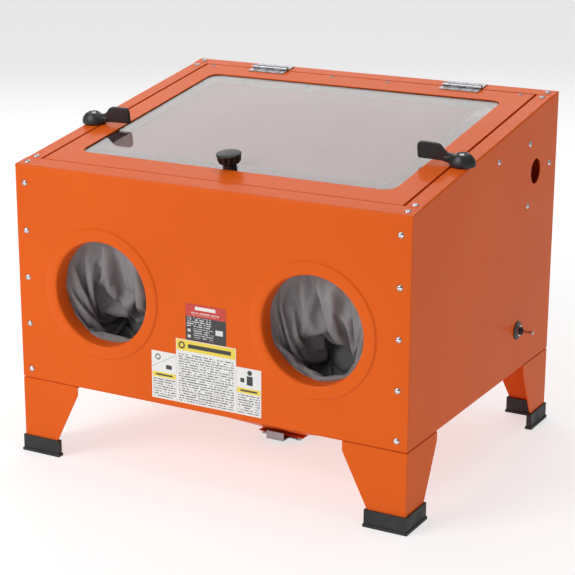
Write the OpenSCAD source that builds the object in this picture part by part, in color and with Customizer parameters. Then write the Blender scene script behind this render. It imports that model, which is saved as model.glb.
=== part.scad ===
// Benchtop sandblast cabinet: a folded sheet steel box on four angle legs, with two
// gloved arm ports, a hinged lid with a clear window, a lamp, a blast gun and a hopper.
// Millimetres. Origin on the bench under the middle of the cabinet, front towards -Y.

/* [Shell] */
// Width of the cabinet, left to right
cab_w = 590; // [580:5:620]
// Depth of the cabinet, front to back
cab_d = 480; // [475:5:500]
// Height of the front wall
front_h = 302; // [298:1:320]
// Height of the back wall
back_h = 380; // [376:1:395]
// Height of the shell's underside above the bench
base_z = 110; // [108:1:130]
// Thickness of the sheet steel
sheet = 1.5; // [1.2:0.1:1.6]
// Outside radius of the folds
bend_r = 2.4; // [1.8:0.1:3]
// Width of the folded strip in front of the lid
front_strip = 27.5; // [26:0.5:30]
// Width of the folded strip behind the lid
rear_strip = 23.3; // [22:0.1:26]
// Width of the folded rails beside the lid
rail_w = 21.5; // [20:0.5:23]

/* [Arm ports] */
// Distance from the middle of the front wall to each port's axis
port_x = 160; // [150:1:170]
// Height of the ports' axis above the bench
port_z = 247.5; // [240:0.5:255]
// Radius of the clear opening
port_r = 72; // [65:1:75]
// Radius of the pressed ring round the opening
ring_r = 91; // [88:1:94]
// How far the ring stands out of the front wall
ring_h = 2; // [1:0.5:3]
// Depth of the collar that holds the glove
collar_l = 22; // [18:1:26]

/* [Lid] */
// Gap between the lid and the rails
lid_gap = 3; // [2:0.5:4]
// Depth of the lid's folded skirt
skirt_h = 12; // [10:1:14]
// Half width of the window opening
window_x = 236; // [220:1:240]
// Distance from the cabinet's front edge to the window's front edge, along the slope
window_front = 68; // [60:1:72]
// Distance from the cabinet's front edge to the window's rear edge, along the slope
window_rear = 422; // [410:1:428]
// Thickness of the window pane
pane_t = 4; // [3:0.5:5]
// Width of each hinge
hinge_w = 60; // [50:1:70]
// Distance from the middle to each hinge
hinge_x = 158; // [120:1:200]

/* [Latches] */
// Distance along the slope from the front edge to the latches' pivots
latch_s = 173; // [150:1:200]
// Height of the latch's dome
dome_h = 16; // [14:1:18]
// How far the latch's wing reaches from its pivot
wing_reach = 62; // [50:1:65]
// Height of the top of the wing above the lid
wing_top = 28; // [24:1:32]

/* [Legs and hopper] */
// Width of each leg's face at the top
leg_top_w = 91; // [80:1:95]
// Width of each leg's face at the bottom
leg_foot_w = 45; // [40:1:50]
// Thickness of the leg's steel
leg_t = 2; // [1.8:0.1:2.5]
// Height of the rubber foot
foot_h = 23.5; // [20:0.5:26]
// Length of each arm of the rubber foot
foot_l = 60; // [55:1:64]
// Half width of the hopper's mouth
hopper_x = 270; // [255:1:271]
// Half depth of the hopper's mouth
hopper_y = 202; // [190:1:210]
// Half width of the hopper's outlet
outlet_r = 21; // [18:1:24]
// Height of the hopper's outlet above the bench
outlet_z = 9.5; // [9:0.5:14]

/* [Inside] */
// Height of the work grate's top
grate_z = 121; // [120:1:125]
// Radius of the lamp tube
lamp_r = 10.5; // [9:0.5:12]
// Height of the lamp's axis
lamp_z = 450; // [440:1:452]
// Distance from the middle of the cabinet back to the lamp's axis
lamp_y = 190; // [180:1:195]
// Height of the blast gun's barrel in its cradles
gun_z = 250; // [240:1:260]

/* [Hidden] */
$fn = 48;
hx = cab_w / 2;
hy = cab_d / 2;
top_z = base_z + front_h;
slope = atan((back_h - front_h) / cab_d);
slope_l = norm([cab_d, back_h - front_h]);
rear_s = slope_l - rear_strip;
rail_x = hx - rail_w - sheet;
screw_x = hx - 15;
screw_heights = [for (k = [0:4]) base_z + 13 + 66 * k];
flange_w = 25;
lip_r = 3.5;
lid_x = rail_x - lid_gap - 0.5;
lid_front = front_strip + sheet;
lid_rear = rear_s - 2;
seat_n = -skirt_h - 4;
seam = 0.05; // gap between sheets that are welded edge to edge
nip = 1.2; // corner cut off where a wall meets the inside of a fold
paint = [0.90, 0.36, 0.10];
steel = [0.72, 0.73, 0.75];
chrome = [0.85, 0.85, 0.87];
black = [0.06, 0.06, 0.07];
rubber = [0.08, 0.08, 0.08];
fabric = [0.42, 0.43, 0.45];

// The lid's plane: X across, Y up the slope from the front edge, Z out of the lid.
module on_slope() translate([0, -hy, top_z]) rotate([slope, 0, 0]) children();

// A point up the slope by s and out of it by n, as [y, z].
function slope_yz(s, n) = [-hy + s * cos(slope) - n * sin(slope),
                           top_z + s * sin(slope) + n * cos(slope)];
// Height of the underside of the top sheet at a given y.
function inside_top(y) = top_z + (y + hy) * tan(slope) - sheet / cos(slope);
function unit(v) = v / norm(v);
// Points of an arc round c, with radius r, from one angle to another in six steps.
function arc(c, r, from, to) = [for (k = [0:6])
    let (a = from + (to - from) * k / 6) [c[0] + r * cos(a), c[1] + r * sin(a)]];
module on_both_sides() { children(); mirror([1, 0, 0]) children(); }

// A domed screw standing on z = 0, with a cross slot.
module pan_screw(head_r = 4.2, head_h = 2.4, shank_r = 2, shank_l = 6) {
    difference() {
        rotate_extrude($fn = 32)
            polygon(concat([[0, 0]], [for (a = [0:15:90]) [head_r * cos(a), head_h * sin(a)]]));
        for (turn = [0, 90]) rotate(turn)
            translate([-head_r * 0.55, -0.45, head_h * 0.5]) cube([head_r * 1.1, 0.9, head_h]);
    }
    translate([0, 0, -shank_l]) cylinder(r = shank_r, h = shank_l + 0.1, $fn = 24);
}

// A flat bar frame round a rectangle: outer half width, front, rear, bar width, thickness.
module bar_frame(x, front, rear, bar, t) difference() {
    translate([-x, front, 0]) cube([2 * x, rear - front, t]);
    translate([-x + bar, front + bar, -1]) cube([2 * (x - bar), rear - front - 2 * bar, t + 2]);
}

// Points of a smooth curve through p, with the given number of steps a span.
function curve(p, steps) = concat(
    [for (i = [0:len(p) - 2], k = [0:steps - 1])
        let (a = p[max(i - 1, 0)], b = p[i], c = p[i + 1], d = p[min(i + 2, len(p) - 1)],
             t = k / steps)
        0.5 * (2 * b + (c - a) * t + (2 * a - 5 * b + 4 * c - d) * t * t
               + (3 * b - a - 3 * c + d) * t * t * t)],
    [p[len(p) - 1]]);

// A round tube swept along path; up must never lie along the path.
module swept(path, r, up, sides = 10) {
    last = len(path) - 1;
    points = [for (i = [0:last])
        let (t = unit(path[min(i + 1, last)] - path[max(i - 1, 0)]),
             a = unit(cross(up, t)), b = cross(t, a))
        for (k = [0:sides - 1]) path[i] + r * (cos(360 * k / sides) * a + sin(360 * k / sides) * b)];
    walls = [for (i = [0:last - 1], k = [0:sides - 1])
        let (j = (k + 1) % sides)
        [i * sides + k, (i + 1) * sides + k, (i + 1) * sides + j, i * sides + j]];
    polyhedron(points, concat([[for (k = [0:sides - 1]) k]], walls,
        [[for (k = [sides - 1:-1:0]) last * sides + k]]));
}

// Screw columns down both edges of the front and back walls.
module at_wall_screws(y, turn)
    for (x = [-screw_x, screw_x], z = screw_heights) translate([x, y, z]) rotate([turn, 0, 0]) children();
rail_screw_s = [12, 33, 452, 474];
module at_rail_screws()
    on_slope() for (x = [-283, 283], s = rail_screw_s) translate([x, s, 0]) children();
module at_ports() for (x = [-port_x, port_x]) translate([x, -hy, port_z]) rotate([90, 0, 0]) children();
leg_bolt_spots = [[282, 170], [215, 228]];
module at_leg_bolts(z)
    for (sx = [-1, 1], sy = [-1, 1], p = leg_bolt_spots) translate([sx * p[0], sy * p[1], z]) children();

// ---- shell ----
module port_ring() rotate_extrude($fn = 96) polygon(concat(
    [[ring_r, -sheet], [ring_r, 0], [ring_r - 2.5, ring_h]],
    [for (a = [90:-15:0]) [port_r + lip_r * (1 - cos(a)), ring_h - lip_r * (1 - sin(a))]],
    [[port_r, -collar_l], [port_r + sheet, -collar_l], [port_r + sheet, ring_h - lip_r],
     [port_r + lip_r, ring_h - sheet], [ring_r - 3, ring_h - sheet], [ring_r - 1, -sheet]]));

module front_panel() color(paint) {
    difference() {
        union() {
            // The fold's centre lies bend_r behind the wall and bend_r under the strip
            fold = [-hy + bend_r, top_z + bend_r * tan(slope) - bend_r / cos(slope)];
            translate([-hx, 0, 0]) rotate([90, 0, 90]) linear_extrude(cab_w) polygon(concat(
                [[-hy, base_z], [-hy + sheet, base_z]], arc(fold, bend_r - sheet, 180, 90 + slope),
                [slope_yz(front_strip, -sheet), slope_yz(front_strip, 0)],
                arc(fold, bend_r, 90 + slope, 180)));
            translate([-hx + sheet + 0.5, -hy + sheet + seam, base_z])
                cube([cab_w - 2 * sheet - 1, flange_w - sheet, sheet]);
        }
        at_wall_screws(-hy, 90) cylinder(r = 2.1, h = 10, center = true, $fn = 24);
        at_ports() cylinder(r = ring_r - 0.5, h = 10, center = true, $fn = 96);
        at_rail_screws() cylinder(r = 2.1, h = 12, center = true, $fn = 24);
        at_leg_bolts(base_z) cylinder(r = 3.2, h = 8, center = true, $fn = 24);
    }
    at_ports() port_ring();
}

module back_panel() color(paint) difference() {
    union() {
        fold = [hy - bend_r, top_z + (cab_d - bend_r) * tan(slope) - bend_r / cos(slope)];
        translate([-hx, 0, 0]) rotate([90, 0, 90]) linear_extrude(cab_w) polygon(concat(
            [[hy, base_z]], arc(fold, bend_r, 0, 90 + slope),
            [slope_yz(rear_s, 0), slope_yz(rear_s, -sheet)],
            arc(fold, bend_r - sheet, 90 + slope, 0), [[hy - sheet, base_z]]));
        translate([-hx + sheet + 0.5, hy - flange_w, base_z])
            cube([cab_w - 2 * sheet - 1, flange_w - sheet - seam, sheet]);
    }
    at_wall_screws(hy, 90) cylinder(r = 2.1, h = 10, center = true, $fn = 24);
    at_rail_screws() cylinder(r = 2.1, h = 12, center = true, $fn = 24);
    at_leg_bolts(base_z) cylinder(r = 3.2, h = 8, center = true, $fn = 24);
    on_hinges() for (x = leaf_screw_x) translate([x, 13, -axis_n])
        cylinder(r = 1.9, h = 8, center = true, $fn = 24);
    translate([jack_at[0], hy, jack_at[1]]) rotate([90, 0, 0]) cylinder(r = 6.1, h = 10, center = true);
}

// The right hand side wall; the left one is its mirror image.
module side_wall() difference() {
    union() {
        translate([hx - sheet, 0, 0]) rotate([90, 0, 90]) linear_extrude(sheet) polygon([
            [-hy + sheet, base_z], [hy - sheet, base_z],
            [hy - sheet, inside_top(hy - sheet) - nip], [hy - sheet - nip, inside_top(hy - sheet - nip)],
            slope_yz(rear_s, -sheet), slope_yz(rear_s, -bend_r),
            slope_yz(front_strip, -bend_r), slope_yz(front_strip, -sheet),
            [-hy + sheet + nip, inside_top(-hy + sheet + nip)],
            [-hy + sheet, inside_top(-hy + sheet) - nip]]);
        // The fold along the slope and the rail beside the lid
        on_slope() translate([hx - bend_r, rear_s, -bend_r]) rotate([90, 0, 0])
            linear_extrude(rear_s - front_strip) polygon(concat(
                [[rail_x - hx + bend_r, bend_r], [rail_x - hx + bend_r, bend_r - sheet]],
                arc([0, 0], bend_r - sheet, 90, 0), [[bend_r - sheet, -bend_r], [bend_r, -bend_r]],
                arc([0, 0], bend_r, 0, 90)));
        // Tabs that the front and rear strips are screwed to
        on_slope() for (s = [3, rear_s + 2]) translate([hx - 24, s, -2 * sheet - seam])
            cube([24 - sheet - seam, 18, sheet]);
        // Flanges behind the front and back walls
        for (y = [-hy + sheet + seam, hy - 2 * sheet - seam]) translate([hx - 28, y, base_z + 2])
            cube([28 - sheet - seam, sheet, front_h - 8]);
        translate([hx - flange_w, -hy + flange_w + 0.5, base_z])
            cube([flange_w - sheet - seam, cab_d - 2 * flange_w - 1, sheet]);
    }
    for (y = [-hy, hy], z = screw_heights) translate([screw_x, y, z]) rotate([90, 0, 0])
        cylinder(r = 2.1, h = 12, center = true, $fn = 24);
    on_slope() for (s = rail_screw_s) translate([283, s, 0])
        cylinder(r = 2.1, h = 12, center = true, $fn = 24);
    on_slope() translate([latch_x, latch_s, 0]) cylinder(r = 2.6, h = 12, center = true, $fn = 24);
    at_leg_bolts(base_z) cylinder(r = 3.2, h = 8, center = true, $fn = 24);
}

module right_side_panel() color(paint) difference() {
    side_wall();
    translate([hx, vent_y, vent_z]) rotate([0, 90, 0]) cylinder(r = vent_r, h = 10, center = true);
    translate([hx, switch_y, switch_z]) rotate([0, 90, 0]) cylinder(r = 6.1, h = 10, center = true);
    for (p = side_screw_spots) translate([hx, p[0], p[1]]) rotate([0, 90, 0])
        cylinder(r = 2.1, h = 10, center = true, $fn = 24);
}

module left_side_panel() color(paint) difference() {
    mirror([1, 0, 0]) side_wall();
    translate([-hx, inlet_y, inlet_z]) rotate([0, 90, 0]) cylinder(r = 7.1, h = 10, center = true);
}

// Ledge frame that the lid closes onto.
module lid_seat() color(paint) on_slope() difference() {
    translate([-rail_x - sheet, front_strip - sheet, seat_n])
        cube([2 * (rail_x + sheet), rear_s - front_strip + 2 * sheet, -sheet - seat_n]);
    translate([-rail_x, front_strip, seat_n + sheet])
        cube([2 * rail_x, rear_s - front_strip, 20]);
    translate([-rail_x + 22, front_strip + 22, seat_n - 5])
        cube([2 * (rail_x - 22), rear_s - front_strip - 44, 20]);
}

module lid_seal() color(black) on_slope() translate([0, 0, seat_n + sheet])
    bar_frame(rail_x - 1, front_strip + 1, rear_s - 1, 9, 2.2);

// ---- hopper, grate and legs ----
// An upside down pyramid between two rectangles: half sizes and height at top and bottom.
module funnel(x1, y1, z1, x0, y0, z0) polyhedron(
    [[-x0, -y0, z0], [x0, -y0, z0], [x0, y0, z0], [-x0, y0, z0],
     [-x1, -y1, z1], [x1, -y1, z1], [x1, y1, z1], [-x1, y1, z1]],
    [[0, 1, 2, 3], [4, 5, 1, 0], [7, 6, 5, 4], [5, 6, 2, 1], [6, 7, 3, 2], [7, 4, 0, 3]]);

// Four sloped plates between a rim and an outlet plate, each welded up from four pieces.
module hopper() color(paint) difference() {
    corner = atan2(hopper_y - outlet_r, hopper_x - outlet_r);
    union() {
        funnel(hopper_x + hopper_t, hopper_y + hopper_t * tan(corner), base_z - sheet - seam,
            outlet_r + hopper_t, outlet_r + hopper_t * tan(corner), outlet_z + seam);
        translate([-hx + sheet, -hy + sheet, base_z - sheet])
            cube([cab_w - 2 * sheet, cab_d - 2 * sheet, sheet]);
        translate([-36, -32, outlet_z - sheet]) cube([72, 64, sheet]);
    }
    funnel(hopper_x, hopper_y, base_z + 0.1, outlet_r, outlet_r, outlet_z);
    translate([-outlet_r, -outlet_r, outlet_z - 5]) cube([2 * outlet_r, 2 * outlet_r, 6]);
    on_both_sides() for (side = [0, 1]) mirror([0, side, 0]) translate([outlet_r, outlet_r, 0])
        rotate(corner) translate([-40, -seam, 0]) cube([hx + 150, 2 * seam, base_z + 10]);
    at_leg_bolts(base_z) cylinder(r = 3.2, h = 8, center = true, $fn = 24);
}

// Lipped rails that the drain gate slides in.
module outlet_guides() color(steel) on_both_sides() {
    translate([27, -32, outlet_z - 5]) cube([4, 64, 5 - sheet]);
    translate([23, -32, outlet_z - 5]) cube([5, 64, 1.3]);
}

module drain_gate() color(steel) {
    translate([-26.5, -34, outlet_z - 3.5]) cube([53, 66, 1.6]);
    translate([-14, -48, outlet_z - 3.5]) cube([28, 15, 1.6]);
    translate([-14, -49.6, outlet_z - 3.5]) cube([28, 1.6, 12]);
}

hopper_t = 2;
slot_pitch = [40, 30];
grate_t = 2;
module work_grate() color([0.35, 0.35, 0.36]) translate([0, 0, grate_z - grate_t]) linear_extrude(grate_t)
    difference() {
        square([568, 448], center = true);
        for (i = [-6:6], j = [-6:6]) translate([i * slot_pitch[0], j * slot_pitch[1]])
            square([slot_pitch[0] - 7, slot_pitch[1] - 6], center = true);
        // Notch that the pickup tube leans through
        translate([-200, 0]) square([46, 20], center = true);
    }

module grate_supports() color(paint) for (turn = [0, 180]) rotate(turn) {
    translate([-262, -hy + sheet, base_z + sheet]) cube([524, sheet, grate_z - grate_t - base_z - sheet]);
    translate([-262, -hy + sheet, grate_z - grate_t - sheet]) cube([524, 32, sheet]);
}

// A leg at the front right corner; the others are mirror images.
module leg_corner() {
    face = [[0, 4], [leg_foot_w, 4], [leg_top_w, base_z - 14], [leg_top_w, base_z - sheet],
            [0, base_z - sheet]];
    difference() {
        translate([hx, -hy, 0]) {
            mirror([1, 0, 0]) translate([0, leg_t, 0]) rotate([90, 0, 0]) linear_extrude(leg_t) polygon(face);
            translate([-leg_t, 0, 0]) rotate([90, 0, 90]) linear_extrude(leg_t) polygon(face);
            translate([-leg_top_w, 0, base_z - sheet - leg_t]) cube([leg_top_w, 21, leg_t]);
            translate([-21, 0, base_z - sheet - leg_t]) cube([21, leg_top_w, leg_t]);
        }
        at_leg_bolts(base_z) cylinder(r = 3.2, h = 12, center = true, $fn = 24);
    }
}

// An L in plan with its outer corner at the leg's corner, grown outwards by g.
module foot_plan(g, arm, t) translate([g, -g]) {
    translate([-arm, 0]) square([arm, t]);
    translate([-t, 0]) square([t, arm]);
}
module foot_corner() translate([hx, -hy, 0]) difference() {
    union() {
        linear_extrude(foot_h) foot_plan(2.4, foot_l, 7.6);
        linear_extrude(4) foot_plan(3.8, foot_l + 2.6, 10.4);
    }
    translate([0, 0, 4]) linear_extrude(foot_h) foot_plan(0.1, leg_foot_w + 11, leg_t + 0.2);
}
module at_corner(right, front) mirror([right ? 0 : 1, 0, 0]) mirror([0, front ? 0 : 1, 0]) children();
module leg_front_left() color(paint) at_corner(false, true) leg_corner();
module leg_front_right() color(paint) at_corner(true, true) leg_corner();
module leg_rear_left() color(paint) at_corner(false, false) leg_corner();
module leg_rear_right() color(paint) at_corner(true, false) leg_corner();
module foot_front_left() color(rubber) at_corner(false, true) foot_corner();
module foot_front_right() color(rubber) at_corner(true, true) foot_corner();
module foot_rear_left() color(rubber) at_corner(false, false) foot_corner();
module foot_rear_right() color(rubber) at_corner(true, false) foot_corner();

// ---- fasteners ----
module leg_bolts() color(steel) at_leg_bolts(0) {
    translate([0, 0, base_z - sheet - leg_t - 4]) cylinder(r = 5.5, h = 4, $fn = 6);
    translate([0, 0, base_z - sheet - leg_t - 1]) cylinder(r = 3, h = 10.5, $fn = 24);
    translate([0, 0, base_z + sheet]) cylinder(r = 5.5, h = 3.6, $fn = 6);
}
module panel_screws() color(chrome) {
    at_wall_screws(-hy, 90) pan_screw();
    at_wall_screws(hy, -90) pan_screw();
    at_rail_screws() pan_screw();
    for (p = side_screw_spots) translate([hx, p[0], p[1]]) rotate([0, 90, 0]) pan_screw(shank_l = 5);
    on_hinges() for (x = leaf_screw_x) translate([x, 13, 1.5 - axis_n]) pan_screw(3.2, 1.4, 1.8, 6);
}

// ---- hinges ----
axis_n = 3.2;
knuckle_r = 3;
knuckle_l = hinge_w / 5;
module on_hinges() on_slope() for (x = [-hinge_x, hinge_x])
    translate([x - hinge_w / 2, (rear_s + lid_rear) / 2, axis_n]) children();
leaf_screw_x = [10, 30, 50];

// One hinge leaf: dir is -1 for the lid's and 1 for the body's; odd picks its knuckles.
module leaf(dir, len, odd) {
    difference() {
        union() {
            translate([0, dir > 0 ? 3.6 : -len - 3.6, -axis_n]) cube([hinge_w, len, 1.5]);
            for (k = [0:4]) if (k % 2 == odd) translate([k * knuckle_l + 0.15, 0, 0]) {
                rotate([0, 90, 0]) cylinder(r = knuckle_r, h = knuckle_l - 0.3);
                translate([0, dir > 0 ? 0 : -4, 0.2 - axis_n]) cube([knuckle_l - 0.3, 4, 1.3]);
            }
        }
        translate([-1, 0, 0]) rotate([0, 90, 0]) cylinder(r = 1.65, h = hinge_w + 2);
        for (x = leaf_screw_x) translate([x, dir * (len / 2 + 4.5), -axis_n])
            cylinder(r = 2.1, h = 6, center = true, $fn = 24);
    }
}
module hinge_body_leaves() color(steel) on_hinges() leaf(1, 17, 0);
module hinge_lid_leaves() color(steel) on_hinges() leaf(-1, 12.5, 1);
module hinge_pins() color(steel) on_hinges() translate([-0.8, 0, 0]) rotate([0, 90, 0])
    cylinder(r = 1.6, h = hinge_w + 1.6);

// ---- latches ----
latch_x = 284;
module latch_screws() color(chrome) on_slope() on_both_sides() translate([latch_x, latch_s, 0]) {
    translate([0, 0, dome_h - 2]) pan_screw(4.6, 3, 2.5, dome_h + 5);
    translate([0, 0, -sheet - 3.4]) cylinder(r = 5, h = 3.4, $fn = 6);
}

// The right hand latch: an oval dome over the rail, with an upright wing over the lid.
module latch() on_slope() translate([latch_x, latch_s, 0.4]) difference() {
    union() {
        intersection() {
            union() {
                translate([-4, -14, 0]) cube([8, 28, dome_h]);
                for (x = [-4, 4]) translate([x, 0, 0]) cylinder(r = 14, h = dome_h);
            }
            translate([0, 0, dome_h - 24]) sphere(r = 24, $fn = 64);
        }
        translate([0, 2.5, 0]) rotate([90, 0, 0]) linear_extrude(5) {
            polygon([[-4, 2], [-16, 4], [-wing_reach, 5], [-wing_reach, wing_top - 7],
                [-wing_reach + 7, wing_top], [-37, wing_top - 0.5], [-32, wing_top - 2.5],
                [-28, wing_top - 7], [-24, dome_h], [-18, dome_h - 2], [-10, dome_h - 2]]);
            translate([-wing_reach + 7, wing_top - 7]) circle(r = 7);
        }
    }
    translate([0, 0, -1]) cylinder(r = 2.56, h = dome_h + 5);
    translate([0, 0, dome_h - 2.6]) cylinder(r = 5, h = 5);
}
module latch_right() color(black) latch();
module latch_left() color(black) mirror([1, 0, 0]) latch();

// ---- lid ----
knob_at = [-4, 78];
lid_screw_spots = [[-255, 455], [-50, 455], [42, 455], [250, 455]];
retainer_spots = [[-200, 46.5], [-70, 46.5], [70, 46.5], [200, 46.5],
                  [-200, 443.5], [-70, 443.5], [70, 443.5], [200, 443.5]];
module lid_frame() color(paint) on_slope() difference() {
    translate([-lid_x, lid_front, -skirt_h]) cube([2 * lid_x, lid_rear - lid_front, skirt_h]);
    translate([-lid_x + sheet, lid_front + sheet, -skirt_h - 1])
        cube([2 * (lid_x - sheet), lid_rear - lid_front - 2 * sheet, skirt_h + 1 - sheet]);
    translate([0, 0, -5]) linear_extrude(10) {
        translate([-window_x + 15, window_front]) square([2 * window_x - 30, window_rear - window_front]);
        translate([-window_x, window_front + 15]) square([2 * window_x, window_rear - window_front - 30]);
        for (x = [-window_x + 15, window_x - 15], s = [window_front + 15, window_rear - 15])
            translate([x, s]) circle(r = 15);
    }
    for (p = lid_screw_spots) translate([p[0], p[1], 0]) cylinder(r = 1.6, h = 8, center = true, $fn = 24);
    for (x = [-hinge_x, hinge_x], u = leaf_screw_x)
        translate([x - hinge_w / 2 + u, (rear_s + lid_rear) / 2 - 10.75, 0])
            cylinder(r = 2.1, h = 8, center = true, $fn = 24);
}
module window_pane() color([0.8, 0.85, 0.87, 0.4]) on_slope() difference() {
    translate([-window_x - 16, window_front - 16, -sheet - pane_t])
        cube([2 * window_x + 32, window_rear - window_front + 32, pane_t]);
    translate([knob_at[0], knob_at[1], -10]) cylinder(r = 2.6, h = 20, $fn = 24);
}
module window_film() color([0.9, 0.9, 0.92, 0.3]) on_slope()
    translate([-214, 94, -sheet - pane_t - 0.5]) cube([428, 297, 0.5]);
module window_retainers() color(steel) on_slope() {
    translate([0, 0, -sheet - pane_t - 1.5])
        bar_frame(window_x + 26, window_front - 25, window_rear + 25, 19, 1.5);
    for (p = retainer_spots) translate([p[0], p[1], -sheet - pane_t - 1.6]) {
        cylinder(r = 2, h = pane_t + 1.6, $fn = 24);
        translate([0, 0, -1.6]) cylinder(r = 4, h = 1.7, $fn = 24);
    }
}
module lid_screws() color(steel) {
    on_slope() for (p = lid_screw_spots) translate([p[0], p[1], 0]) pan_screw(3.2, 1.4, 1.5, 5);
    on_hinges() for (x = leaf_screw_x) translate([x, -10.75, 1.5 - axis_n]) pan_screw(3.2, 1.4, 1.8, 6);
}

// Star knob through the window's front edge, with its bolt and nut.
module lid_knob() color(black) on_slope() translate([knob_at[0], knob_at[1], -sheet]) {
    cylinder(r = 9.3, h = 8);
    translate([0, 0, 6.8]) linear_extrude(11.6) difference() {
        circle(r = 16.2);
        for (k = [0:11]) rotate(30 * k + 15) translate([16.2, 0]) circle(r = 2.7, $fn = 24);
    }
    intersection() {
        translate([0, 0, 18]) cylinder(r = 17, h = 6);
        translate([0, 0, 22.5 - 45]) sphere(r = 45, $fn = 64);
    }
    translate([0, 0, -pane_t - 6]) cylinder(r = 2.5, h = pane_t + 7, $fn = 24);
    translate([0, 0, -pane_t - 5.6]) cylinder(r = 4.6, h = 4, $fn = 6);
    translate([0, 0, -pane_t - 1.6]) cylinder(r = 7, h = 1.6);
}

// ---- gloves ----
// A gauntlet clamped on the port's collar, its sleeve open to the front. A thin gap parts
// the sleeve's ring from its closed end.
module glove() difference() {
    glove_solid();
    translate([port_x - 85, -hy + 78, port_z - 85]) cube([170, seam, 170]);
}
module glove_solid() {
    translate([port_x, -hy, port_z]) rotate([90, 0, 0]) rotate_extrude($fn = 48) polygon([
        [port_r + sheet + 0.1, -5], [port_r + sheet + 2.6, -5], [port_r + sheet + 2.6, -23],
        [73, -33], [66, -80], [56, -100], [36, -112], [0, -116],
        [0, -113.4], [35, -109.5], [54, -98], [63.4, -79], [70.4, -33], [port_r + sheet + 0.1, -22.6]]);
    // Forearm and hand hanging down to the grate
    hull() {
        translate([port_x, -hy + 108, port_z - 6]) scale([1.1, 0.5, 1]) sphere(r = 40, $fn = 20);
        translate([port_x + 2, -hy + 140, port_z - 62]) sphere(r = 27, $fn = 16);
    }
    hull() {
        translate([port_x + 2, -hy + 140, port_z - 62]) sphere(r = 27, $fn = 16);
        translate([port_x - 2, -hy + 172, grate_z + 24]) sphere(r = 22, $fn = 16);
    }
    hull() {
        for (x = [-23, 23]) {
            translate([port_x + x, -hy + 190, grate_z + 17]) sphere(r = 16, $fn = 16);
            translate([port_x + x * 0.9, -hy + 258, grate_z + 13.5]) sphere(r = 12.5, $fn = 16);
        }
    }
}
module glove_right() color(fabric) glove();
module glove_left() color(fabric) mirror([1, 0, 0]) glove();
module glove_clamps() color(steel) at_ports() {
    difference() {
        translate([0, 0, -17]) cylinder(r = port_r + sheet + 3.8, h = 9, $fn = 64);
        translate([0, 0, -18]) cylinder(r = port_r + sheet + 2.7, h = 11, $fn = 64);
    }
    translate([-6, port_r + sheet + 3.4, -17]) cube([14, 6, 9]);
}

// ---- lamp ----
lamp_end = [-150, 204];
module lamp_tube() color([0.96, 0.96, 0.93]) translate([lamp_end[0], lamp_y, lamp_z])
    rotate([0, 90, 0]) cylinder(r = lamp_r, h = lamp_end[1] - lamp_end[0]);
module lamp_end_caps() color([0.85, 0.85, 0.84]) {
    translate([lamp_end[0] - 14, lamp_y, lamp_z]) rotate([0, 90, 0]) cylinder(r = lamp_r + 1, h = 14);
    translate([lamp_end[1], lamp_y, lamp_z]) rotate([0, 90, 0]) cylinder(r = lamp_r + 1, h = 14);
}
module lamp_clips() color(steel) for (x = [-110, 150]) translate([x, lamp_y, lamp_z]) {
    rotate([0, 90, 0]) difference() {
        cylinder(r = lamp_r + 1.6, h = 12);
        translate([0, 0, -1]) cylinder(r = lamp_r + 0.1, h = 14);
    }
    translate([0, lamp_r + 0.8, -0.8]) cube([12, hy - sheet - lamp_y - lamp_r - 0.8, 1.6]);
    translate([0, hy - 2 * sheet - lamp_y, -14]) cube([12, sheet, 28]);
}
cable_route = [[-164, 190, 450], [-180, 191, 449], [-204, 194, 443], [-230, 200, 428], [-256, 207, 409],
    [-276, 214, 390], [-286, 220, 362], [-288, 222, 320], [-288, 222, 260], [-287.5, 218, 215],
    [-285, 210, 184], [-277, 201, 163], [-264, 195.5, 153], [-251, 197, 150.5], [-242.5, 205, 150],
    [-240, 214, 150], [-240, 223.7, 150]];
module lamp_cable() color([0.93, 0.93, 0.92]) swept(curve(cable_route, 3), 2.5, [0.5, 0.8, 0.2], 8);
jack_at = [-240, 150];
module power_jack() color(black) translate([jack_at[0], hy, jack_at[1]]) rotate([90, 0, 0]) difference() {
    union() {
        translate([0, 0, -2.4]) cylinder(r = 9, h = 2.4);
        translate([0, 0, 0]) cylinder(r = 6, h = 16);
    }
    translate([0, 0, -3]) cylinder(r = 2.8, h = 12);
}

// ---- switch, vent and air inlet ----
switch_y = 116;
switch_z = 170.5;
vent_y = 162;
vent_z = 389.5;
vent_r = 18;
inlet_y = 170;
inlet_z = 160;
side_screw_spots = [[135.6, 432], [213.4, 391.9], [135.9, 345.3], [25.8, 427.6]];
module at_switch() translate([hx, switch_y, switch_z]) rotate([0, 90, 0]) children();
module switch_body() color(black) at_switch() difference() {
    union() {
        translate([-14, -7, -sheet - 22]) cube([28, 14, 22]);
        translate([0, 0, -sheet - 1]) cylinder(r = 5.9, h = 10.5);
    }
    translate([0, 0, -sheet - 2]) cylinder(r = 4, h = 14);
}
module switch_washer() color(black) at_switch() difference() {
    cylinder(r = 13, h = 1.6);
    translate([0, 0, -1]) cylinder(r = 6, h = 4);
}
module switch_nut() color(chrome) at_switch() difference() {
    translate([0, 0, 1.6]) cylinder(r = 8.4, h = 3, $fn = 6);
    cylinder(r = 6, h = 8);
}
module switch_lever() color(chrome) at_switch() {
    translate([0, 0, 2]) sphere(r = 2.8, $fn = 32);
    translate([0, 0, 2]) cylinder(r1 = 1.4, r2 = 2.5, h = 21);
    translate([0, 0, 23]) sphere(r = 2.5, $fn = 32);
    // Cross pin that it turns on, inside the bushing
    translate([0, 3.6, 2]) rotate([90, 0, 0]) cylinder(r = 1.2, h = 7.2, $fn = 24);
}
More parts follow.
